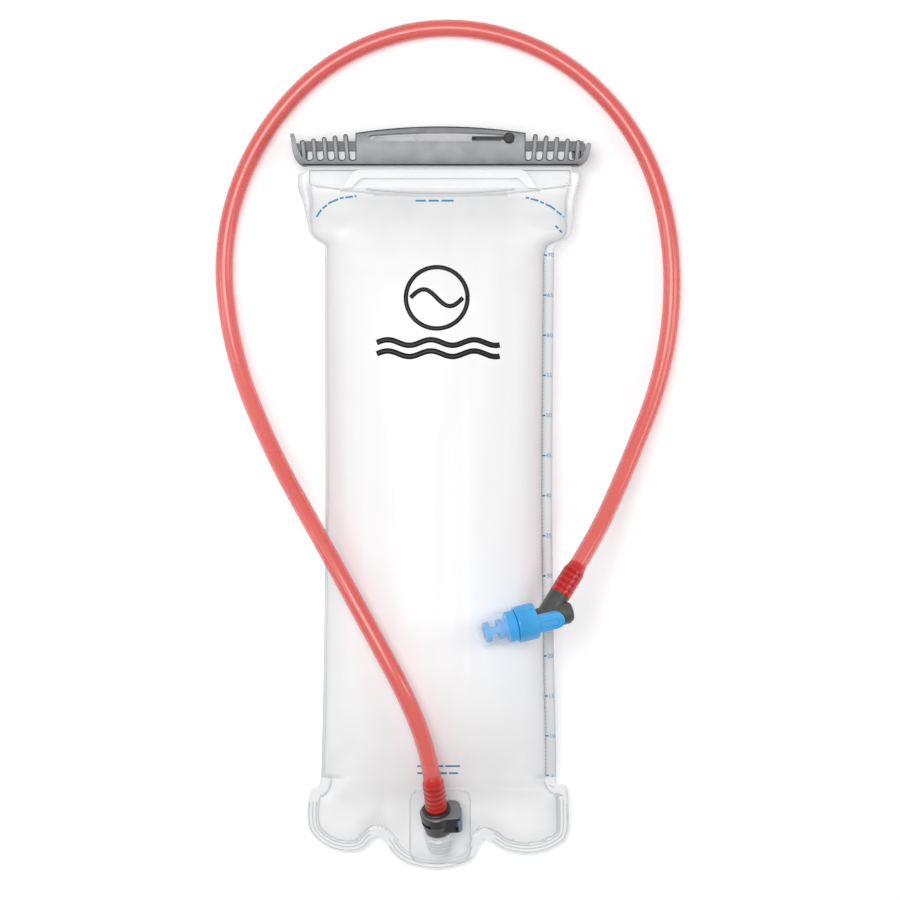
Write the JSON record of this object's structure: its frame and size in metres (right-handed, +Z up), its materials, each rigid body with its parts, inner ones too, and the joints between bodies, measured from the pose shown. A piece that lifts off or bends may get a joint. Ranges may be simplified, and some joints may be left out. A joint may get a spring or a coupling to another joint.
{
  "type": "hydration bladder",
  "caption": "Translucent film water reservoir with a slide-seal mouth, a quick-connect port and a red drink tube looping to a blue bite valve with a twist shut-off.",
  "frame": {"origin": "centre of the reservoir's footprint, without the drink tube, on the surface it lies on", "axes": "+X across the reservoir, +Y from the port towards the slide bar, +Z up from the surface"},
  "size_m": [0.2534, 0.4627, 0.0722],
  "materials": {
    "film": "satin",
    "clear_moulding": "gloss",
    "bar_grey": "satin",
    "leash_black": "matte",
    "fitting_dark": "satin",
    "button_grey": "satin",
    "seal_rubber": "matte",
    "spring_steel": "satin",
    "tube_red": "satin",
    "elbow_grey": "satin",
    "valve_blue": "satin",
    "core_blue": "gloss",
    "silicone": "gloss"
  },
  "bodies": {
    "reservoir": {"front_panel": "film", "back_panel": "film", "front_mouth_rail": "clear_moulding", "back_mouth_rail": "clear_moulding", "hang_tab": "film", "leash_strap": "leash_black", "port_patch": "clear_moulding", "port_spout": "clear_moulding", "socket_body": "fitting_dark", "socket_seal": "seal_rubber", "button_spring": "spring_steel", "poppet_spring": "spring_steel"},
    "slider": {"slide_bar": "bar_grey"},
    "leash_end": {"leash_knob": "leash_black"},
    "button": {"release_button": "button_grey", "latch_plate": "fitting_dark"},
    "check_valve": {"poppet": "fitting_dark"},
    "hose": {"plug_body": "fitting_dark", "plug_o_ring": "seal_rubber", "drink_tube": "tube_red", "valve_elbow": "elbow_grey", "valve_o_rings": "seal_rubber", "elbow_end_cap": "elbow_grey"},
    "shutoff": {"shutoff_collar": "valve_blue", "shutoff_spool": "valve_blue"},
    "bite_valve": {"bite_core": "core_blue", "bite_o_ring": "seal_rubber", "bite_sheath": "silicone"}
  },
  "joints": [
    {"name": "slider_slide", "type": "slide", "parent": "reservoir", "child": "slider", "axis": [1, 0, 0], "range_m": [0, 0.154], "deforming": ["hang_tab", "leash_strap"]},
    {"name": "leash_follow", "type": "slide", "parent": "reservoir", "child": "leash_end", "axis": [1, 0, 0], "range_m": [0, 0.0818]},
    {"name": "button_press", "type": "slide", "parent": "reservoir", "child": "button", "axis": [-0.9975, -0.0565, -0.0413], "range_m": [0, 0.0015], "stiffness_N_per_m": 600, "springref_m": -0.0015, "deforming": ["button_spring"]},
    {"name": "hose_unplug", "type": "slide", "parent": "reservoir", "child": "hose", "axis": [-0.07, 0.8051, 0.589], "range_m": [0, 0.048]},
    {"name": "check_valve_lift", "type": "slide", "parent": "reservoir", "child": "check_valve", "axis": [-0.07, 0.8051, 0.589], "range_m": [0, 0.0015], "deforming": ["poppet_spring"]},
    {"name": "shutoff_turn", "type": "hinge", "parent": "hose", "child": "shutoff", "pos_m": [0.0211, -0.0713, 0.0645], "axis": [0.9576, 0.2299, -0.1736], "range_deg": [0, 90]},
    {"name": "bite_swivel", "type": "hinge", "parent": "shutoff", "child": "bite_valve", "pos_m": [0.0211, -0.0713, 0.0645], "axis": [0.9576, 0.2299, -0.1736], "range_deg": [-180, 180]}
  ],
  "couplings": [
    {"joint": "leash_follow", "follows": "slider_slide", "ratio": 0.53},
    {"joint": "check_valve_lift", "follows": "hose_unplug", "ratio": 0.031}
  ]
}
